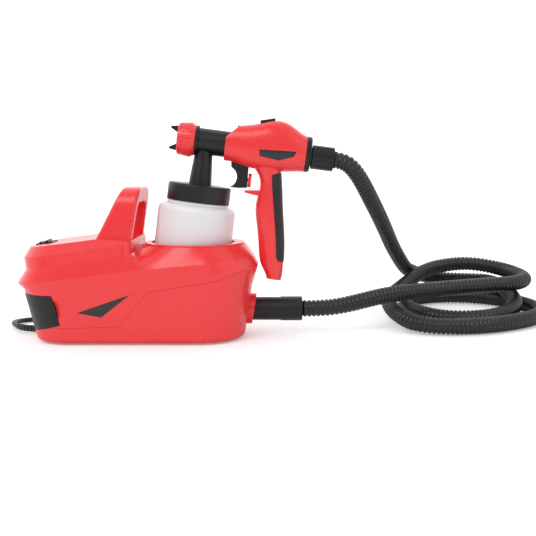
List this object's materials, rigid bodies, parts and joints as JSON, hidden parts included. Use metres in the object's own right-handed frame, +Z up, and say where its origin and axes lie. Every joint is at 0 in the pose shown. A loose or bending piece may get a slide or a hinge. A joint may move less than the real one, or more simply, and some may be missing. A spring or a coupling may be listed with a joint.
{
  "type": "airless paint sprayer",
  "caption": "Portable paint sprayer: a moulded base with turbine, filter, carrying handle and cup well, a ribbed air hose, and a spray gun with a screw-on paint cup.",
  "frame": {"origin": "on the ground under the middle of the base and gun, cords left out", "axes": "+Z up, +X toward the hose socket, +Y away from the side that the picture shows"},
  "size_m": [0.7883, 0.3601, 0.2915],
  "materials": {
    "red_plastic": "semi-gloss",
    "black_plastic": "fine-grained",
    "hose_plastic": "satin",
    "soft_rubber": "matte",
    "cup_plastic": "translucent",
    "grey_plastic": "moulded",
    "filter_foam": "open-cell foam",
    "steel": "turned",
    "brass": "turned"
  },
  "bodies": {
    "base": {"lower_housing": "red_plastic", "upper_housing": "red_plastic", "carry_handle": "red_plastic", "cup_well": "red_plastic", "filter_foam": "filter_foam", "filter_tray": "black_plastic", "motor_stator": "steel", "motor_bracket": "steel", "brush_holders": "grey_plastic", "turbine_scroll": "grey_plastic", "turbine_lid": "grey_plastic", "bearings": "steel", "motor_mounts": "soft_rubber", "outlet_duct": "grey_plastic", "hose_socket": "red_plastic", "switch_body": "black_plastic", "strain_relief": "soft_rubber", "feet": "soft_rubber", "housing_screws": "steel", "power_cord_lead": "soft_rubber", "power_cord_coil": "soft_rubber", "power_cord_tail": "soft_rubber", "power_plug": "black_plastic", "hose_plug": "black_plastic", "hose_cuff": "black_plastic", "hose_lead": "hose_plastic", "hose_coil": "hose_plastic", "hose_riser": "hose_plastic"},
    "filter_door": {"filter_cover": "black_plastic"},
    "rotor": {"rotor_shaft": "steel", "turbine_wheel": "grey_plastic", "armature": "steel", "commutator": "brass"},
    "rocker": {"rocker_switch": "black_plastic"},
    "gun": {"gun_shell_near": "red_plastic", "gun_shell_far": "red_plastic", "gun_screws": "steel", "grip_insert": "soft_rubber", "top_strip": "black_plastic", "rear_collar": "black_plastic", "hose_spigot": "grey_plastic", "barrel": "black_plastic", "packing_nut": "brass", "nozzle": "brass", "cup_lid": "black_plastic", "lid_gasket": "soft_rubber", "feed_tube": "cup_plastic", "trigger_pin": "steel", "needle_spring": "steel"},
    "trigger_lever": {"trigger": "black_plastic"},
    "paint_needle": {"needle": "steel"},
    "knob": {"flow_knob": "red_plastic"},
    "cap": {"air_cap": "black_plastic"},
    "front_nut": {"ring_nut": "red_plastic"},
    "paint_cup": {"cup": "cup_plastic"},
    "button": {"release_button": "black_plastic"},
    "rear_nut": {"hose_nut": "black_plastic"}
  },
  "joints": [
    {"name": "filter_cover_slide", "type": "slide", "parent": "base", "child": "filter_door", "axis": [-1, 0, 0], "range_m": [0, 0.025]},
    {"name": "rotor_spin", "type": "hinge", "parent": "base", "child": "rotor", "pos_m": [-0.11631, 0, 0.05], "axis": [0, 0, 1], "continuous": true},
    {"name": "rocker_tilt", "type": "hinge", "parent": "base", "child": "rocker", "pos_m": [-0.17727, 0, 0.11752], "axis": [0, 1, 0], "range_deg": [0, 16]},
    {"name": "gun_lift", "type": "slide", "parent": "base", "child": "gun", "axis": [0.1271, 0, 0.9919], "range_m": [0, 0.12]},
    {"name": "trigger_pull", "type": "hinge", "parent": "gun", "child": "trigger_lever", "pos_m": [0.09123, 0, 0.26618], "axis": [0, -1, 0], "range_deg": [0, 8], "stiffness_Nm_per_rad": 0.6, "springref_deg": -20.05},
    {"name": "needle_draw", "type": "slide", "parent": "gun", "child": "paint_needle", "axis": [0.9919, 0, -0.1271], "range_m": [0, 0.0017]},
    {"name": "flow_turn", "type": "hinge", "parent": "trigger_lever", "child": "knob", "pos_m": [0.09409, 0, 0.20986], "axis": [0.9919, 0, -0.1271], "range_deg": [-135, 135]},
    {"name": "air_cap_turn", "type": "hinge", "parent": "gun", "child": "cap", "pos_m": [0.00142, 0, 0.26559], "axis": [0.9919, 0, -0.1271], "range_deg": [0, 90]},
    {"name": "ring_nut_turn", "type": "hinge", "parent": "gun", "child": "front_nut", "pos_m": [0.01333, 0, 0.26406], "axis": [0.9919, 0, -0.1271], "range_deg": [0, 90]},
    {"name": "cup_turn", "type": "hinge", "parent": "gun", "child": "paint_cup", "pos_m": [0.02697, 0, 0.18166], "axis": [0.1271, 0, 0.9919], "range_deg": [0, 60]},
    {"name": "button_press", "type": "slide", "parent": "gun", "child": "button", "axis": [-0.1271, 0, -0.9919], "range_m": [0, 0.002], "stiffness_N_per_m": 200, "springref_m": -0.002},
    {"name": "hose_nut_turn", "type": "hinge", "parent": "gun", "child": "rear_nut", "pos_m": [0.1936, 0, 0.23896], "axis": [0.9919, 0, -0.1271], "range_deg": [0, 90]}
  ],
  "couplings": [
    {"joint": "needle_draw", "follows": "trigger_pull", "m_per_rad": 0.012}
  ]
}
